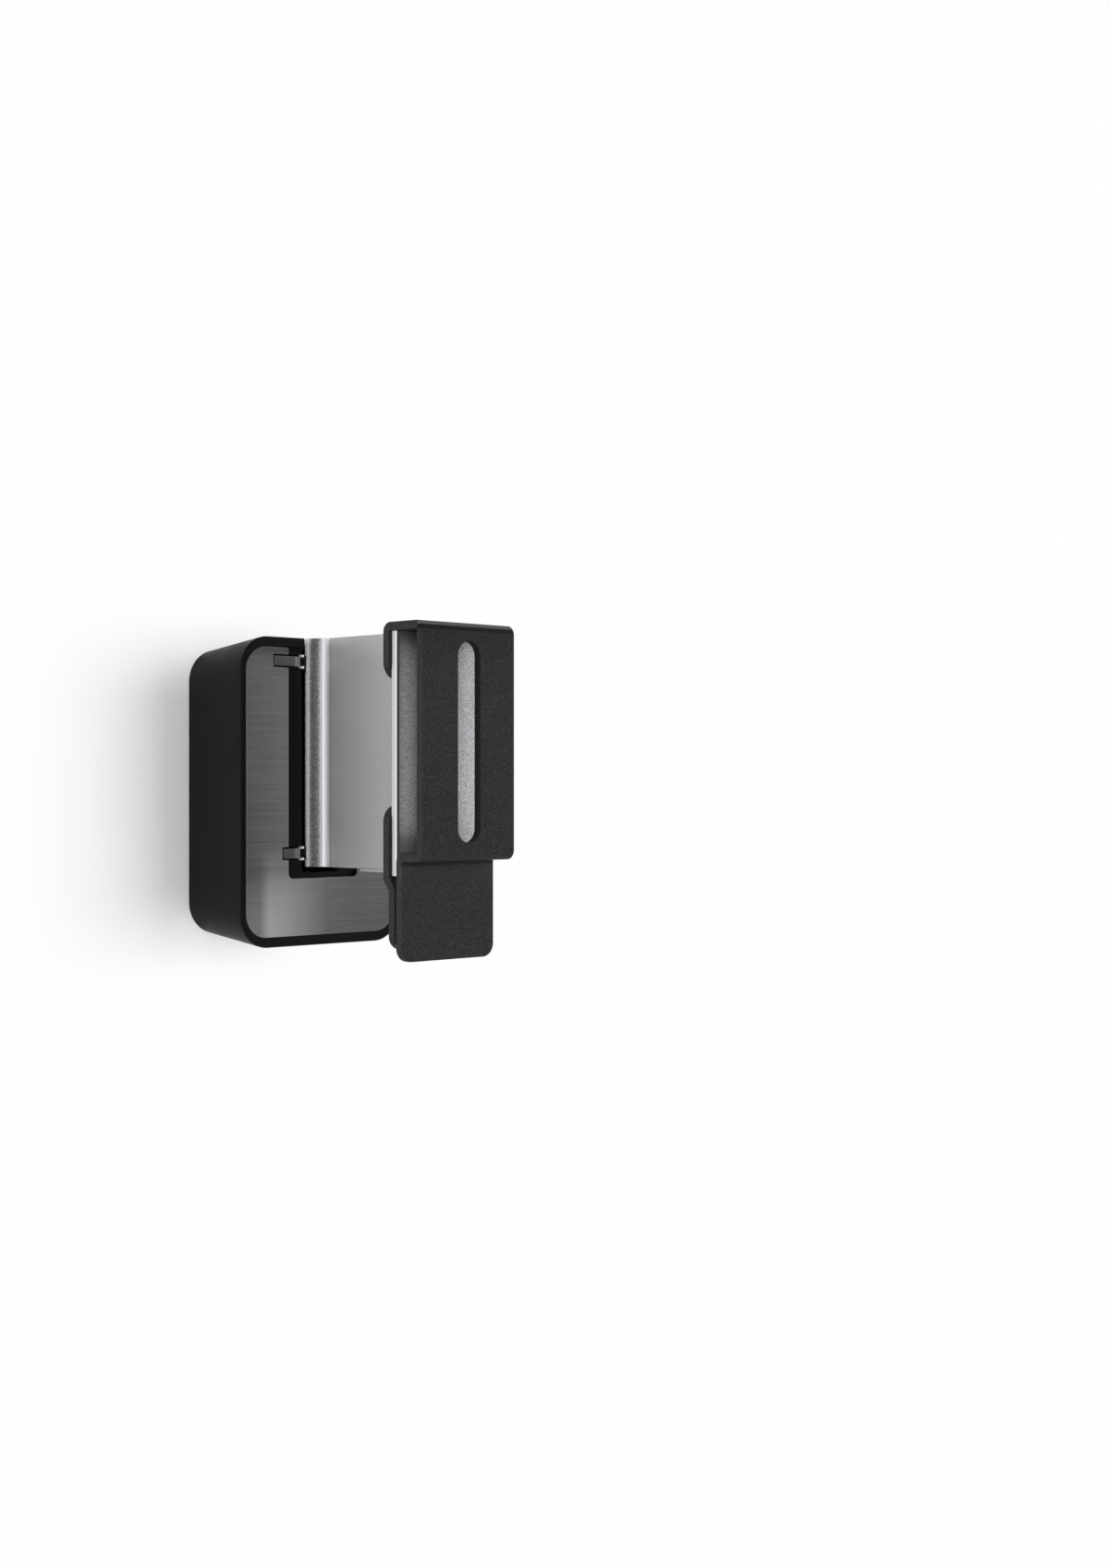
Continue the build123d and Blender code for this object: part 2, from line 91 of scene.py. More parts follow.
class Net:
    def __init__(self, tree, owner=None):
        self.tree = tree
        self.owner = owner
        tree.nodes.clear()

    # Any node: its type, then its settings, then values or wires for its sockets; colours have no alpha
    def add(self, kind, settings=None, sockets=None, out=0):
        node = self.tree.nodes.new(kind)
        for key, value in (settings or {}).items():
            if key == "stops":
                self.fillRamp(node.color_ramp.elements, value)
            else:
                setattr(node, key, value)
        for key, value in (sockets or {}).items():
            socket = node.inputs[key]
            if isinstance(value, Wire):
                self.tree.links.new(value.socket, socket)
            elif isinstance(value, list):
                for wire in value:
                    self.tree.links.new(wire.socket, socket)
            else:
                socket.default_value = (*value, 1.0) if socket.type == "RGBA" else value
        return Wire(self, node.outputs[out]) if len(node.outputs) else None

    def fillRamp(self, elements, stops):
        elements.remove(elements[1])
        elements[0].position = stops[0][0]
        for place, grey in stops[1:]:
            elements.new(place)
        for element, (place, grey) in zip(elements, stops):
            element.color = (grey, grey, grey, 1.0)

    def place(self):
        return self.add("ShaderNodeTexCoord", out="Object")

    def axis(self, letter):
        return self.add("ShaderNodeSeparateXYZ", sockets={0: self.place()}, out=letter)

    # Noise with its grain size in millimetres, one length or one for each axis
    def grain(self, size, detail=2.0, roughness=0.5, turn=(0.0, 0.0, 0.0)):
        lengths = size if isinstance(size, tuple) else (size, size, size)
        where = self.add("ShaderNodeMapping", {"vector_type": "POINT"}, {
            "Vector": self.place(), "Rotation": turn, "Scale": tuple(1 / (length * mm) for length in lengths),
        })
        return self.add("ShaderNodeTexNoise", {"noise_dimensions": "3D"}, {
            "Vector": where, "Scale": 1.0, "Detail": detail, "Roughness": roughness,
        })

    # 0 below low, 1 above high, smooth between; low may be the larger one
    def step(self, value, low, high):
        return self.add("ShaderNodeMapRange", {"interpolation_type": "SMOOTHSTEP"}, {
            "Value": value, "From Min": low, "From Max": high,
        })

    # The same for a place, with low and high in millimetres
    def stepAt(self, value, places):
        return self.step(value, *inMetres(places))

    def spread(self, value, low, high, toLow=0.0, toHigh=1.0):
        return self.add("ShaderNodeMapRange", {"interpolation_type": "LINEAR"}, {
            "Value": value, "From Min": low, "From Max": high, "To Min": toLow, "To Max": toHigh,
        })

    # A noise's usual span becomes low to high
    def between(self, noise, low=0.0, high=1.0):
        return self.spread(noise, *usualNoise, low, high)

    # Grey that follows a place through pairs of millimetres and tone
    def profile(self, value, pairs):
        low, high = pairs[0][0], pairs[-1][0]
        stops = [((place - low) / (high - low), grey) for place, grey in pairs]
        return self.add("ShaderNodeValToRGB", {"stops": stops}, {0: self.spread(value, low * mm, high * mm)})

    def mixColour(self, factor, first, second, blend="MIX"):
        settings = {"data_type": "RGBA", "blend_type": blend}
        return self.add("ShaderNodeMix", settings, {0: factor, 6: first, 7: second}, out=2)

    def bump(self, height, strength, depth):
        sockets = {"Height": height, "Strength": strength, "Distance": depth * mm}
        return self.add("ShaderNodeBump", {}, sockets)

    def surface(self, shader):
        self.add("ShaderNodeOutputMaterial", {}, {"Surface": shader})
        return self.owner

    def principled(self, sockets):
        return self.surface(self.add("ShaderNodeBsdfPrincipled", {}, sockets))


def newFinish(name):
    material = bpy.data.materials.new(name)
    material.use_nodes = True
    return Net(material.node_tree, material)


def inMetres(pair):
    return [value * mm for value in pair]


# Finishes: grains and places are in millimetres, and each bump is a strength and a depth

coverFinish = dict(
    dark=(0.0026, 0.0026, 0.0028), light=(0.0044, 0.0044, 0.0047), spark=0.16, cloud=9.0,
    rough=(0.42, 0.5), gloss=0.08, bump=(0.12, 0.05),
)


def mouldedBlack():
    net = newFinish("mouldedBlack")
    spark = net.grain(coverFinish["spark"], detail=1.0, turn=obliqueTurn)
    cloud = net.grain(coverFinish["cloud"], detail=3.0)
    return net.principled({
        "Base Color": net.mixColour(cloud, coverFinish["dark"], coverFinish["light"]),
        "Roughness": net.between(cloud, *coverFinish["rough"]),
        "Specular IOR Level": coverFinish["gloss"],
        "Normal": net.bump(spark, *coverFinish["bump"]),
    })


# Brushed along X, with a painted highlight in a soft patch at the lower left, and painted shade that makes it
# darker to the right and the top
trimFinish = dict(
    dark=(0.175, 0.175, 0.1775), light=(0.315, 0.315, 0.32), paintedHighlightTone=(0.68, 0.68, 0.68), paintedHighlightShare=0.7,
    fine=(16, 6, 0.09), coarse=(45, 6, 0.5), fineShare=0.7, coarseShare=0.3,
    rough=(0.42, 0.32), bump=(0.35, 0.06),
    paintedHighlightX=[(-32, 0.12), (-24.4, 0.12), (-22.5, 0.6), (-20.5, 1.0), (-18.5, 0.9), (-5, 0.3), (2, 0.0)],
    paintedHighlightZ=[(-46, 1.0), (-34, 0.92), (-26, 0.66), (-21, 0.36), (-16.5, 0.0)],
    paintedShadeX=[(-32, 0.98), (-14, 0.93), (2, 0.73), (12, 0.62), (32, 0.6)],
    paintedShadeZ=[(-46, 0.87), (-24, 0.9), (-12, 1.0), (34, 1.0), (41, 0.74), (43.5, 0.42), (45, 0.38)],
)


def brushedTrim():
    net = newFinish("brushedTrim")
    across = net.axis("X")
    upward = net.axis("Z")
    fine = net.grain(trimFinish["fine"], detail=2.0, roughness=0.6)
    coarse = net.grain(trimFinish["coarse"], detail=2.0)
    streaks = fine * trimFinish["fineShare"] + coarse * trimFinish["coarseShare"]
    # Painted highlight: a soft lighter patch at the lower left
    paintedHighlight = net.profile(across, trimFinish["paintedHighlightX"]) * net.profile(upward, trimFinish["paintedHighlightZ"])
    # Painted shade: darker to the right and towards the top
    paintedTrimShade = net.profile(across, trimFinish["paintedShadeX"]) * net.profile(upward, trimFinish["paintedShadeZ"])
    tone = net.mixColour(net.between(streaks), trimFinish["dark"], trimFinish["light"])
    tone = net.mixColour(paintedHighlight * trimFinish["paintedHighlightShare"], tone, trimFinish["paintedHighlightTone"])
    return net.principled({
        "Base Color": net.mixColour(1.0, tone, paintedTrimShade, blend="MULTIPLY"),
        "Metallic": 1.0,
        "Roughness": net.between(streaks, *trimFinish["rough"]),
        "Normal": net.bump(streaks, *trimFinish["bump"]),
    })


# The extrusion's tone along Y goes from the head over the web and its smooth root to the blasted barrel, with
# painted highlights on the root fillet and the barrel's rear, and painted shade across the barrel's middle
# and in thin lines at the root. A value's At row says how much each of those parts adds to it.
armFinish = dict(
    tint=(0.97, 0.982, 1.0), grit=0.37, gritSpan=(0.36, 0.64), gritDepth=0.5, cloud=12,
    sectionTonesAndPaintedLight=[
        (-88, 0.46), (-82.5, 0.46), (-80.5, 0.52), (-60, 0.52), (-48.5, 0.5), (-41, 0.575), (-36.6, 0.63),
        (-36.3, 0.5), (-36.0, 0.52), (-35.6, 1.0), (-34.2, 0.8), (-33.8, 0.83), (-33.62, 0.8),
        (-33.42, 0.28), (-33.2, 0.2), (-33.03, 0.4), (-32.85, 0.21), (-32.3, 0.12), (-31.6, 0.13),
        (-31, 0.19), (-30.4, 0.42), (-29.5, 0.95), (-24, 1.0),
    ],
    frontPaintedTones=[(-17.3, 0.38), (-14.5, 0.46), (-10, 0.24), (-2, 0.33), (5, 0.75), (17.3, 0.75)],
    frontZ=(2.0, 46.0), frontTopShade=0.74,
    nookX=(0.0, -8.0), foldZ=(40.5, 46.5), returnZ=(-8.5, -15.0), nookShadeShare=0.5,
    sideTone=0.63, lipTone=1.0, seamTone=0.02, endTone=0.6,
    barrelY=(-33.2, -32.9), rearY=(-30.6, -29.2), rootY=(-36.2, -35.9), webY=(-34.0, -36.0),
    headY=(-80.5, -82.5), frontY=(-86.0, -86.4), sideX=(17.0, 17.2), paintedGlintY=(-85.45, -85.6),
    paintedDarkEdgeX=(16.7, 16.8), paintedDarkEdgeY=(-86.0, -86.1), endZ=(47.5, 47.66),
    scribeZ=-23.3, scribeHalf=(0.3, 0.1), scribeY=(-50.2, -50.6), scribeShare=0.3,
    speckle=0.15, speckleAt=dict(barrel=0.85, rear=-0.4, head=0.15, front=0.6),
    metal=0.8, metalAt=dict(web=-0.15, front=-0.25, rear=-0.75, side=0.35, seam=-0.4),
    rough=(0.42, 0.48), roughAt=dict(barrel=0.06, smooth=-0.1),
    relief=0.3, reliefAt=dict(barrel=1.0, head=1.0), bump=(0.25, 0.05),
)


def satinArm():
    net = newFinish("satinArm")
    grit = net.grain(armFinish["grit"], detail=2.0, roughness=0.7, turn=obliqueTurn)
    cloud = net.grain(armFinish["cloud"], detail=3.0)
    across = net.axis("X")
    along = net.axis("Y")
    upward = net.axis("Z")

    def mask(value, name):
        return net.stepAt(value, armFinish[name])

    parts = {name: mask(along, name + "Y") for name in ("barrel", "rear", "web", "head", "front")}
    parts["side"] = mask(abs(across), "sideX")
    # Painted shade: a dark line on the head's rounded front corner
    parts["seam"] = mask(abs(across), "paintedDarkEdgeX") * mask(along, "paintedDarkEdgeY")
    # Painted highlight: a glint on the front end of the head's side face
    parts["lip"] = parts["side"] * mask(along, "paintedGlintY")
    parts["end"] = mask(upward, "endZ")
    parts["smooth"] = parts["side"] + (mask(along, "rootY") - parts["barrel"])

    def overParts(base, shares):
        quality = base
        for part, share in shares.items():
            quality = parts[part] * share + quality
        return quality

    # A scribed line crosses the web, and painted shade darkens the head's front into the nook under the
    # plate's folds
    scribe = net.stepAt(abs(upward - armFinish["scribeZ"] * mm), armFinish["scribeHalf"])
    scribe = scribe * mask(along, "scribeY") * (1.0 - parts["head"])
    paintedNookShade = mask(across, "nookX") * (mask(upward, "foldZ") + mask(upward, "returnZ"))
    # Painted shade on the head's front: its tones across X, and darker towards its top
    paintedTopShade = net.spread(upward, *inMetres(armFinish["frontZ"]), 1.0, armFinish["frontTopShade"])
    frontPaintedTone = net.profile(across, armFinish["frontPaintedTones"]) * paintedTopShade * (1.0 - paintedNookShade * armFinish["nookShadeShare"])
    # Tones along Y, with painted highlights and painted shade on the root fillet and barrel
    tone = net.profile(along, armFinish["sectionTonesAndPaintedLight"]) * (1.0 - scribe * armFinish["scribeShare"])
    tone = tone + (frontPaintedTone - tone) * parts["front"]
    for part in ("side", "lip", "seam", "end"):
        tone = tone + (armFinish[part + "Tone"] - tone) * parts[part]

    blasted = (1.0 - parts["smooth"]) * (1.0 - parts["end"])
    depth = armFinish["gritDepth"]
    speckle = net.spread(grit, *armFinish["gritSpan"], -depth, depth) * blasted
    speckle = speckle * overParts(armFinish["speckle"], armFinish["speckleAt"])
    relief = grit * overParts(armFinish["relief"], armFinish["reliefAt"]) * blasted
    return net.principled({
        "Base Color": net.mixColour(1.0, armFinish["tint"], tone * (speckle + 1.0), blend="MULTIPLY"),
        "Metallic": overParts(armFinish["metal"], armFinish["metalAt"]),
        "Roughness": overParts(net.between(cloud, *armFinish["rough"]), armFinish["roughAt"]),
        "Normal": net.bump(relief, *armFinish["bump"]),
    })


powderFinish = dict(
    dark=(0.0205, 0.0205, 0.021), fleck=(0.057, 0.057, 0.0585), fleckSize=0.34, fleckSpan=(0.5, 0.72),
    peel=0.42, rough=(0.5, 0.62), gloss=0.07, bump=(0.4, 0.08),
    paintedLightTone=(0.125, 0.125, 0.1275), bendY=(-95.4, -96.4), bendZ=(47.9, 48.3), bendHighlightShare=0.65,
    edgeX=(17.9, 18.05), edgeHighlightShare=0.11, tabY=(-91.0, -89.5), tabBackY=(-87.6, -88.2),
    tabLightZ=[(-49, 0.03), (-31, 0.03), (-26.4, 0.06), (-23.7, 0.12), (-21.5, 0.2), (-20.9, 0.0)],
    footShade=(0.002, 0.002, 0.002),
    footShadeZ=[(34, 0.0), (43, 0.16), (46.4, 0.2), (47.1, 0.9), (47.7, 0.95), (48.0, 0.0)],
    cut=(0.018, 0.018, 0.018), slotReach=(4.5, 4.42), slotY=(-95.5, -96.0), slotZ=14.6, slotHalf=24.95,
)


def blackPowder():
    net = newFinish("blackPowder")
    across = abs(net.axis("X"))
    along = net.axis("Y")
    upward = net.axis("Z")

    def mask(value, name):
        return net.stepAt(value, powderFinish[name])

    peel = net.grain(powderFinish["peel"], detail=2.0, roughness=0.6, turn=obliqueTurn)
    fleck = net.grain(powderFinish["fleckSize"], detail=1.0, turn=obliqueTurn)
    fleck = net.step(fleck, *powderFinish["fleckSpan"])
    tone = net.mixColour(fleck, powderFinish["dark"], powderFinish["fleck"])
    # Painted highlights lighten the coat on the upper bend and along the sheet's edges, and painted light
    # lifts the shade on the tab below the fold
    front = mask(along, "bendY")
    bend = front * mask(upward, "bendZ")
    edge = mask(across, "edgeX") * (1.0 - bend)
    paintedTabLight = mask(along, "tabY") * mask(along, "tabBackY") * net.profile(upward, powderFinish["tabLightZ"])
    paintedLight = bend * powderFinish["bendHighlightShare"] + edge * powderFinish["edgeHighlightShare"] + paintedTabLight
    tone = net.mixColour(paintedLight, tone, powderFinish["paintedLightTone"])
    # Painted shade darkens the foot of that bend and the cut walls of the bolt slot
    tone = net.mixColour(front * net.profile(upward, powderFinish["footShadeZ"]), tone, powderFinish["footShade"])
    past = abs(upward - powderFinish["slotZ"] * mm) - powderFinish["slotHalf"] * mm
    past = past.math("MAXIMUM", past, 0.0)
    reach = across * across + past * past
    reach = reach.math("SQRT", reach)
    # Painted shade on the bolt slot's cut walls
    slot = mask(reach, "slotReach") * mask(along, "slotY")
    return net.principled({
        "Base Color": net.mixColour(slot, tone, powderFinish["cut"]),
        "Roughness": net.between(peel, *powderFinish["rough"]),
        "Specular IOR Level": powderFinish["gloss"],
        "Normal": net.bump(peel, *powderFinish["bump"]),
    })


# The hinge plates get painted shade behind their front edges, and a painted highlight towards the bevels and
# forked lips
paintedPlateEnds = dict(
    tint=(0.9, 0.9, 0.91), behindShade=(0.008, 0.008, 0.008),
    behindY=(-30.6, -30.4), deepY=(-24.0, -26.0), frontY=(-28.0, -29.0),
    paintedEndHighlightX=[
        (-11, 0.0), (-10.6, 0.12), (-9.8, 0.28), (-8.7, 0.33),
        (-8.2, 0.6), (-7.9, 1.0), (-7.15, 1.0), (-6.9, 0.0),
    ],
)
steelFinish = dict(
    drawn=(6, 0.2, 0.2), cloud=7, drawnShare=0.6, cloudShare=0.4,
    shade=0.78, roughSpan=0.1, bump=(0.15, 0.04),
)
steels = {
    "plate_steel": dict(name="plateSteel", tint=(0.13, 0.13, 0.133), rough=0.4, paintedEnds=paintedPlateEnds),
    "pin_steel": dict(name="pinSteel", tint=(0.62, 0.62, 0.64), rough=0.2),
    "zinc_steel": dict(name="zincSteel", tint=(0.62, 0.63, 0.66), rough=0.26),
}


def satinSteel(name, tint, rough, paintedEnds=None):
    net = newFinish(name)
    drawn = net.grain(steelFinish["drawn"], detail=2.0)
    cloud = net.grain(steelFinish["cloud"], detail=3.0)
    streaks = drawn * steelFinish["drawnShare"] + cloud * steelFinish["cloudShare"]
    shaded = tuple(steelFinish["shade"] * value for value in tint)
    tone = net.mixColour(net.between(streaks), shaded, tint)
    if paintedEnds:
        along = net.axis("Y")
        # Painted shade behind the front edges
        behind = net.stepAt(along, paintedEnds["behindY"]) * net.stepAt(along, paintedEnds["deepY"])
        tone = net.mixColour(behind, tone, paintedEnds["behindShade"])
        # Painted highlight towards the bevels and forked lips
        paintedEndHighlight = net.profile(net.axis("X"), paintedEnds["paintedEndHighlightX"]) * net.stepAt(along, paintedEnds["frontY"])
        tone = net.mixColour(paintedEndHighlight, tone, paintedEnds["tint"])
    return net.principled({
        "Base Color": tone,
        "Metallic": 1.0,
        "Roughness": net.between(cloud, rough, rough + steelFinish["roughSpan"]),
        "Normal": net.bump(drawn, *steelFinish["bump"]),
    })


acetalFinish = dict(
    dark=(0.7, 0.69, 0.64), light=(0.78, 0.77, 0.73), cloud=1.5, rough=(0.4, 0.5), bump=(0.1, 0.05),
)


def naturalAcetal():
    net = newFinish("naturalAcetal")
    cloud = net.grain(acetalFinish["cloud"], detail=2.0)
    return net.principled({
        "Base Color": net.mixColour(cloud, acetalFinish["dark"], acetalFinish["light"]),
        "Roughness": net.between(cloud, *acetalFinish["rough"]),
        "Normal": net.bump(cloud, *acetalFinish["bump"]),
    })


finishes = {
    "moulding": mouldedBlack(),
    "brushed_trim": brushedTrim(),
    "arm_metal": satinArm(),
    "black_powder": blackPowder(),
    "bush_plastic": naturalAcetal(),
}
for slotName, steel in steels.items():
    finishes[slotName] = satinSteel(**steel)
slotOf = {row["node"]: row["material_slot"] for row in frame["record"]["subparts"]}
bodyOf = {node: body for body, members in frame["record"]["behaviour"]["bodies"].items() for node in members}
for nodeName, cadNode in cadNodes.items():
    cadNode.data.materials.clear()
    cadNode.data.materials.append(finishes[slotOf[nodeName]])
print("finishes made:", len(finishes))


# Pieces

def addObject(name, data):
    made = bpy.data.objects.new(name, data)
    scene.collection.objects.link(made)
    return made


# The evaluated mesh takes the place of the object's own, and its modifiers go
def bakeModifiers(piece):
    graph = bpy.context.evaluated_depsgraph_get()
    piece.data = bpy.data.meshes.new_from_object(piece.evaluated_get(graph), depsgraph=graph)
    piece.modifiers.clear()


# Nodes whose sharp edges are broken: each bevel's width in millimetres and its segments
softEdges = {
    "cover": dict(piece="coverShell", width=0.18, segments=2),
    "trim_plate": dict(piece="trimSheet", width=0.16, segments=2),
    "wall_plate": dict(piece="wallSheet", width=0.2, segments=2),
    "hinge_plate_upper": dict(piece="hingePlateUpper", width=0.15, segments=2),
    "hinge_plate_lower": dict(piece="hingePlateLower", width=0.15, segments=2),
    "arm": dict(piece="armExtrusion", width=0.15, segments=2),
    "speaker_plate": dict(piece="speakerSheet", width=0.22, segments=2),
    "rear_clip": dict(piece="clipSheet", width=0.22, segments=2),
    "clamp_washer_left": dict(piece="washerLeft", width=0.12, segments=2),
    "clamp_washer_right": dict(piece="washerRight", width=0.12, segments=2),
}
shellRule = dict(
    mergeGap=0.002,       # mm between corners that are one
    flatAngle=0.3,        # degrees between faces that are one flat
    sharpAngle=40,        # degrees from which an edge is broken
    normalWeight=50,      # how far large faces keep their shading flat
)


# Copy of a node as one clean shell with its sharp edges broken
def softCopy(nodeName, edge):
    mesh = cadNodes[nodeName].data.copy()
    shell = bmesh.new()
    shell.from_mesh(mesh)
    bmesh.ops.remove_doubles(shell, verts=shell.verts, dist=shellRule["mergeGap"] * mm)
    flat = math.radians(shellRule["flatAngle"])
    bmesh.ops.dissolve_limit(shell, angle_limit=flat, verts=shell.verts, edges=shell.edges)
    for face in shell.faces:
        face.smooth = True
    shell.to_mesh(mesh)
    shell.free()
    piece = addObject(edge["piece"], mesh)
    bevel = piece.modifiers.new("brokenEdges", "BEVEL")
    bevel.width = edge["width"] * mm
    bevel.segments = edge["segments"]
    bevel.limit_method = "ANGLE"
    bevel.angle_limit = math.radians(shellRule["sharpAngle"])
    bevel.use_clamp_overlap = False
    bevel.loop_slide = False
    normals = piece.modifiers.new("faceNormals", "WEIGHTED_NORMAL")
    normals.weight = shellRule["normalWeight"]
    bakeModifiers(piece)
    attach(piece, bodyOf[nodeName])
    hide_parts(nodeName)


for nodeName, edge in softEdges.items():
    softCopy(nodeName, edge)
print("pieces with broken edges:", len(softEdges))


# Clamp screws: welded studs with their threads and chamfered nuts, one tree set on two points
clampScrews = dict(
    count=2, shank=4.0, pitch=0.7, ridge=0.34, core=0.4, tipLength=0.45, tipShare=0.78, steps=24, sides=48,
    nutSides=6, nutCrown=0.95, crownAngle=30, holeGap=0.03, sinkDepth=0.35, sharpAngle=25, weld=0.002,
)


def screwTree(metal):
    tree = bpy.data.node_groups.new("clampScrewTree", "GeometryNodeTree")
    net = Net(tree)
    given = tree.nodes.new("NodeGroupInput")
    tree.interface.new_socket("Geometry", in_out="OUTPUT", socket_type="NodeSocketGeometry")

    def size(name, kind="NodeSocketFloat"):
        tree.interface.new_socket(name, in_out="INPUT", socket_type=kind)
        return Wire(net, given.outputs[name])

    def moved(shape, lift):
        place = net.add("ShaderNodeCombineXYZ", {}, {"Z": lift})
        return net.add("GeometryNodeTransform", {}, {"Geometry": shape, "Translation": place})

    def drum(radius, height, low, sides=clampScrews["sides"]):
        shape = net.add("GeometryNodeMeshCylinder", {}, {
            "Vertices": sides, "Radius": radius, "Depth": height,
        })
        return moved(shape, low + height * 0.5)

    def cone(bottom, top, height, low):
        shape = net.add("GeometryNodeMeshCone", {}, {
            "Vertices": clampScrews["sides"], "Radius Bottom": bottom, "Radius Top": top, "Depth": height,
        })
        return moved(shape, low)

    # Corners that lie on each other become one, and only true corners stay sharp
    def turned(shape):
        shape = net.add("GeometryNodeMergeByDistance", {}, {
            "Geometry": shape, "Distance": clampScrews["weld"] * mm,
        })
        shape = net.add("GeometryNodeSetShadeSmooth", {"domain": "FACE"}, {"Geometry": shape})
        angle = net.add("GeometryNodeInputMeshEdgeAngle", out="Unsigned Angle")
        sharp = net.add("FunctionNodeCompare", {"data_type": "FLOAT", "operation": "GREATER_THAN"}, {
            0: angle, 1: math.radians(clampScrews["sharpAngle"]),
        })
        return net.add("GeometryNodeSetShadeSmooth", {"domain": "EDGE"}, {
            "Geometry": shape, "Selection": sharp, "Shade Smooth": False,
        })

    shank = size("Shank Radius")
    length = size("Stud Length")
    flangeRadius = size("Flange Radius")
    flangeHeight = size("Flange Height")
    nutWidth = size("Nut Width")
    nutHeight = size("Nut Height")
    nutLift = size("Nut Lift")
    first = size("First Place", "NodeSocketVector")
    spacing = size("Spacing", "NodeSocketVector")

    # Stud: a core with a ridge wound round it, and a flange on the tab
    core = shank - clampScrews["core"] * mm
    tip = clampScrews["tipLength"] * mm
    wound = length - flangeHeight - tip
    ridge = clampScrews["ridge"] * mm
    middle = shank - ridge
    spiral = net.add("GeometryNodeCurveSpiral", {}, {
        "Resolution": clampScrews["steps"], "Rotations": wound / (clampScrews["pitch"] * mm),
        "Start Radius": middle, "End Radius": middle, "Height": wound,
    })
    spiral = net.add("GeometryNodeSetCurveNormal", {"mode": "Z_UP"}, {"Curve": spiral})
    outline = net.add("GeometryNodeCurvePrimitiveQuadrilateral", {"mode": "KITE"}, {
        "Width": 2 * ridge, "Bottom Height": ridge, "Top Height": ridge,
    })
    thread = net.add("GeometryNodeCurveToMesh", {}, {
        "Curve": spiral, "Profile Curve": outline, "Fill Caps": True,
    })
    stud = net.add("GeometryNodeMeshBoolean", {"operation": "UNION", "solver": "EXACT"}, {
        "Mesh 2": [
            drum(flangeRadius, flangeHeight, 0.0),
            drum(core, length - tip, 0.0),
            cone(core, core * clampScrews["tipShare"], tip, length - tip),
            moved(thread, flangeHeight),
        ],
    })

    # Nut: a hexagon cut by a cone at each end, with a countersunk hole
    crown = nutWidth * (clampScrews["nutCrown"] / 2)
    flare = nutHeight / math.tan(math.radians(clampScrews["crownAngle"])) + crown
    hexagon = drum(nutWidth / math.sqrt(3), nutHeight, 0.0, clampScrews["nutSides"])
    blank = net.add("GeometryNodeMeshBoolean", {"operation": "INTERSECT", "solver": "EXACT"}, {
        "Mesh 2": [hexagon, cone(crown, flare, nutHeight, 0.0), cone(flare, crown, nutHeight, 0.0)],
    })
    hole = shank + clampScrews["holeGap"] * mm
    sink = clampScrews["sinkDepth"] * mm
    nut = net.add("GeometryNodeMeshBoolean", {"operation": "DIFFERENCE", "solver": "EXACT"}, {
        "Mesh 1": blank,
        "Mesh 2": [
            drum(hole, nutHeight * 2, nutHeight * -0.5),
            cone(hole, hole + 2 * sink, 2 * sink, nutHeight - sink),
        ],
    })
    screw = net.add("GeometryNodeJoinGeometry", {}, {"Geometry": [turned(stud), turned(moved(nut, nutLift))]})
    places = net.add("GeometryNodeMeshLine", {"mode": "OFFSET"}, {
        "Count": clampScrews["count"], "Start Location": first, "Offset": spacing,
    })
    alongY = (math.radians(-90), 0, 0)      # a screw is made upright
    whole = net.add("GeometryNodeInstanceOnPoints", {}, {
        "Points": places, "Instance": screw, "Rotation": alongY,
    })
    whole = net.add("GeometryNodeRealizeInstances", {}, {"Geometry": whole})
    whole = net.add("GeometryNodeSetMaterial", {}, {"Geometry": whole, "Material": metal})
    net.add("NodeGroupOutput", {}, {"Geometry": whole})
    return tree


def makeClampScrews():
    studLow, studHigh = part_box("clamp_stud_left")
    rightLow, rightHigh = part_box("clamp_stud_right")
    nutLow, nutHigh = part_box("clamp_nut_left")
    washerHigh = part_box("clamp_washer_left")[1]
    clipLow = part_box("rear_clip")[0]
    middle = (studLow + studHigh) / 2
    rightMiddle = (rightLow + rightHigh) / 2
    sizes = {
        "Shank Radius": clampScrews["shank"] / 2 * mm,
        "Stud Length": studHigh.y - studLow.y,
        "Flange Radius": (studHigh.x - studLow.x) / 2,
        "Flange Height": clipLow.y - studLow.y,
        "Nut Width": nutHigh.z - nutLow.z,
        "Nut Height": nutHigh.y - washerHigh.y,
        "Nut Lift": washerHigh.y - studLow.y,
        "First Place": (middle.x, studLow.y, middle.z),
        "Spacing": (rightMiddle.x - middle.x, 0.0, 0.0),
    }
    piece = addObject("clampScrews", bpy.data.meshes.new("clampScrews"))
    modifier = piece.modifiers.new("clampScrews", "NODES")
    modifier.node_group = screwTree(finishes["zinc_steel"])
    for item in modifier.node_group.interface.items_tree:
        if item.in_out == "INPUT":
            modifier[item.identifier] = sizes[item.name]
    bakeModifiers(piece)
    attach(piece, "swing_arm")
    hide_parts("clamp_stud_left", "clamp_stud_right", "clamp_nut_left", "clamp_nut_right")
    print("clamp screws:", len(piece.data.polygons), "faces")


makeClampScrews()


# Stage: a white wall, which is clear from behind and stops no light, and a pale floor below the view

stage = dict(
    wallGap=0.4, wallHalf=2500, wallTop=1800, floorDrop=450, white=(0.86, 0.86, 0.86), glow=0.97,
    shadeX=(-95.0, -37.0), fadeX=(25.0, -15.0), shadeZ=-1.0, shadeHalf=(61.0, 27.0),
    dark=(0.02, 0.02, 0.02), holesX=(24.0, 22.0), holesZ=(36.0, 34.0), baseX=(28.6, 28.2), baseZ=(44.6, 44.2),
)


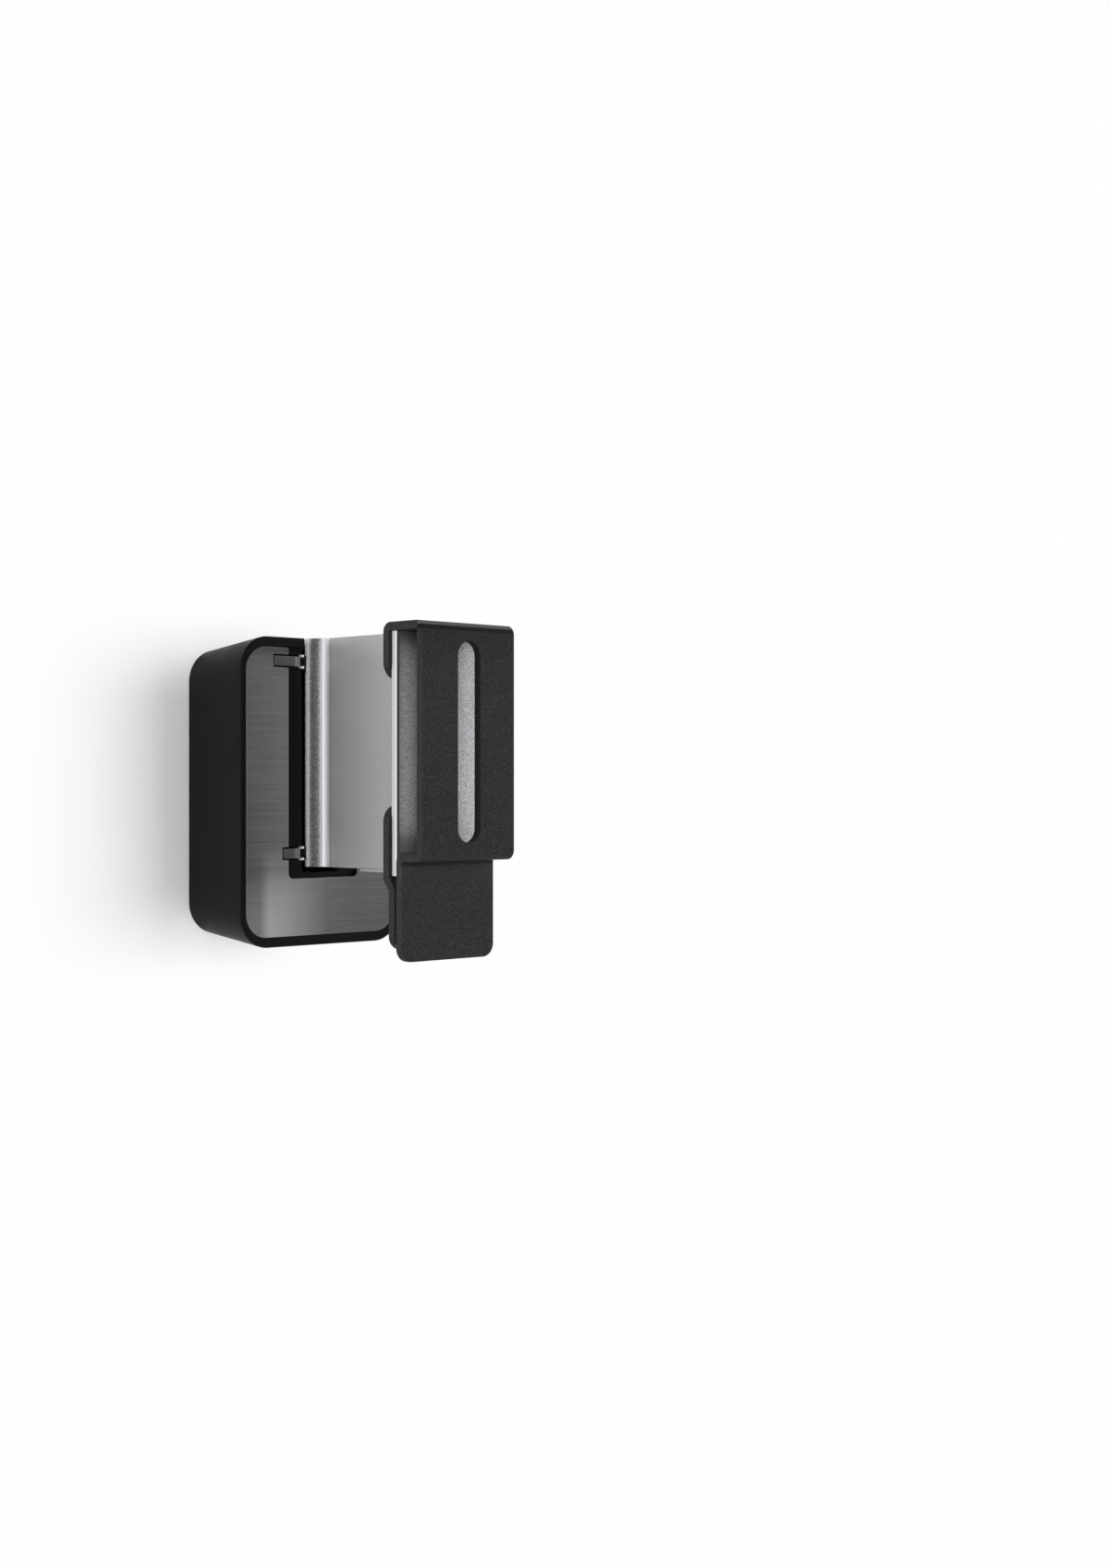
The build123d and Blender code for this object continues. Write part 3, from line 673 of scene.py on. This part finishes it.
def paleBackdrop():
    net = newFinish("paleBackdrop")
    across = net.axis("X")
    upward = net.axis("Z")

    def mask(value, name):
        return net.stepAt(value, stage[name])

    def ray(name):
        return net.add("ShaderNodeLightPath", out=name)

    seen = ray("Is Camera Ray") + ray("Is Glossy Ray") + ray("Is Transmission Ray")
    reach = net.spread(across, *inMetres(stage["shadeX"]))
    shade = reach * reach * mask(across, "fadeX") * mask(abs(upward - stage["shadeZ"] * mm), "shadeHalf")
    # Behind the base the wall gets painted shade where the screw holes show it, and is clear for what the
    # base mirrors
    holes = mask(abs(across), "holesX") * mask(abs(upward), "holesZ")
    mirrored = mask(abs(across), "baseX") * mask(abs(upward), "baseZ") * (1.0 - ray("Is Camera Ray"))
    tone = net.mixColour(holes, stage["white"], stage["dark"])
    paper = net.add("ShaderNodeBsdfDiffuse", {}, {"Color": tone})
    light = net.add("ShaderNodeEmission", {}, {"Color": (1.0, 1.0, 1.0), "Strength": 1.0})
    bright = seen * stage["glow"] * (1.0 - shade) * (1.0 - holes)
    lit = net.add("ShaderNodeMixShader", {}, {0: bright, 1: paper, 2: light})
    fromBehind = net.add("ShaderNodeNewGeometry", out="Backfacing")
    unseen = fromBehind + ray("Is Shadow Ray") + mirrored
    clear = net.add("ShaderNodeBsdfTransparent")
    return net.surface(net.add("ShaderNodeMixShader", {}, {0: unseen, 1: lit, 2: clear}))


def makeStage():
    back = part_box("cover")[1].y + stage["wallGap"] * mm
    half = stage["wallHalf"] * mm
    top = stage["wallTop"] * mm
    bottom = -stage["floorDrop"] * mm
    corners = {
        "wall": [(-half, back, bottom), (half, back, bottom), (half, back, top), (-half, back, top)],
        "floor": [(-half, -half, bottom), (half, -half, bottom), (half, back, bottom), (-half, back, bottom)],
    }
    pale = paleBackdrop()
    for name, outline in corners.items():
        mesh = bpy.data.meshes.new(name)
        mesh.from_pydata(outline, [], [(0, 1, 2, 3)])
        mesh.materials.append(pale)
        addObject(name, mesh)


# Lights: where each stands and what it points at in millimetres, its size and power
lamps = [
    dict(name="rightSoftbox", spot=(1300, -600, 520), aim=(0, -40, 0), width=1400, height=1100, power=12),
    dict(name="leftSoftbox", spot=(-1250, -1050, 100), aim=(0, -40, 0), width=900, height=1400, power=5),
    dict(name="cameraSoftbox", spot=(-700, -1150, 300), aim=(0, -40, 0), width=800, height=600, power=3),
]
# The world is dim on the right and bright on the left
worldLight = dict(tint=(0.95, 0.97, 1.0), dim=0.28, bright=0.62, span=(0.7, -0.7))
cameraSpot = dict(spot=(-421.5, -554.5, 2.45), tilt=90, heading=-45, lens=49.2, sensor=36, nearest=1)


def makeLights():
    for lamp in lamps:
        light = bpy.data.lights.new(lamp["name"], "AREA")
        light.shape = "RECTANGLE"
        light.size = lamp["width"] * mm
        light.size_y = lamp["height"] * mm
        light.energy = lamp["power"]
        made = addObject(lamp["name"], light)
        made.location = Vector(lamp["spot"]) * mm
        made.rotation_euler = (Vector(lamp["aim"]) - Vector(lamp["spot"])).to_track_quat("-Z", "Y").to_euler()
    world = bpy.data.worlds.new("studio")
    world.use_nodes = True
    net = Net(world.node_tree)
    toward = net.add("ShaderNodeTexCoord", out="Generated")
    right = net.add("ShaderNodeSeparateXYZ", {}, {0: toward}, out="X")
    strength = net.spread(right, *worldLight["span"], worldLight["dim"], worldLight["bright"])
    glow = net.add("ShaderNodeBackground", {}, {"Color": worldLight["tint"], "Strength": strength})
    net.add("ShaderNodeOutputWorld", {}, {"Surface": glow})
    scene.world = world


def makeCamera():
    lens = bpy.data.cameras.new("photoView")
    lens.lens = cameraSpot["lens"]
    lens.sensor_width = cameraSpot["sensor"]
    lens.clip_start = cameraSpot["nearest"] * mm
    camera = addObject("photoView", lens)
    camera.location = Vector(cameraSpot["spot"]) * mm
    camera.rotation_euler = (math.radians(cameraSpot["tilt"]), 0, math.radians(cameraSpot["heading"]))
    scene.camera = camera


makeStage()
makeLights()
makeCamera()
print("stage, lights and camera set")
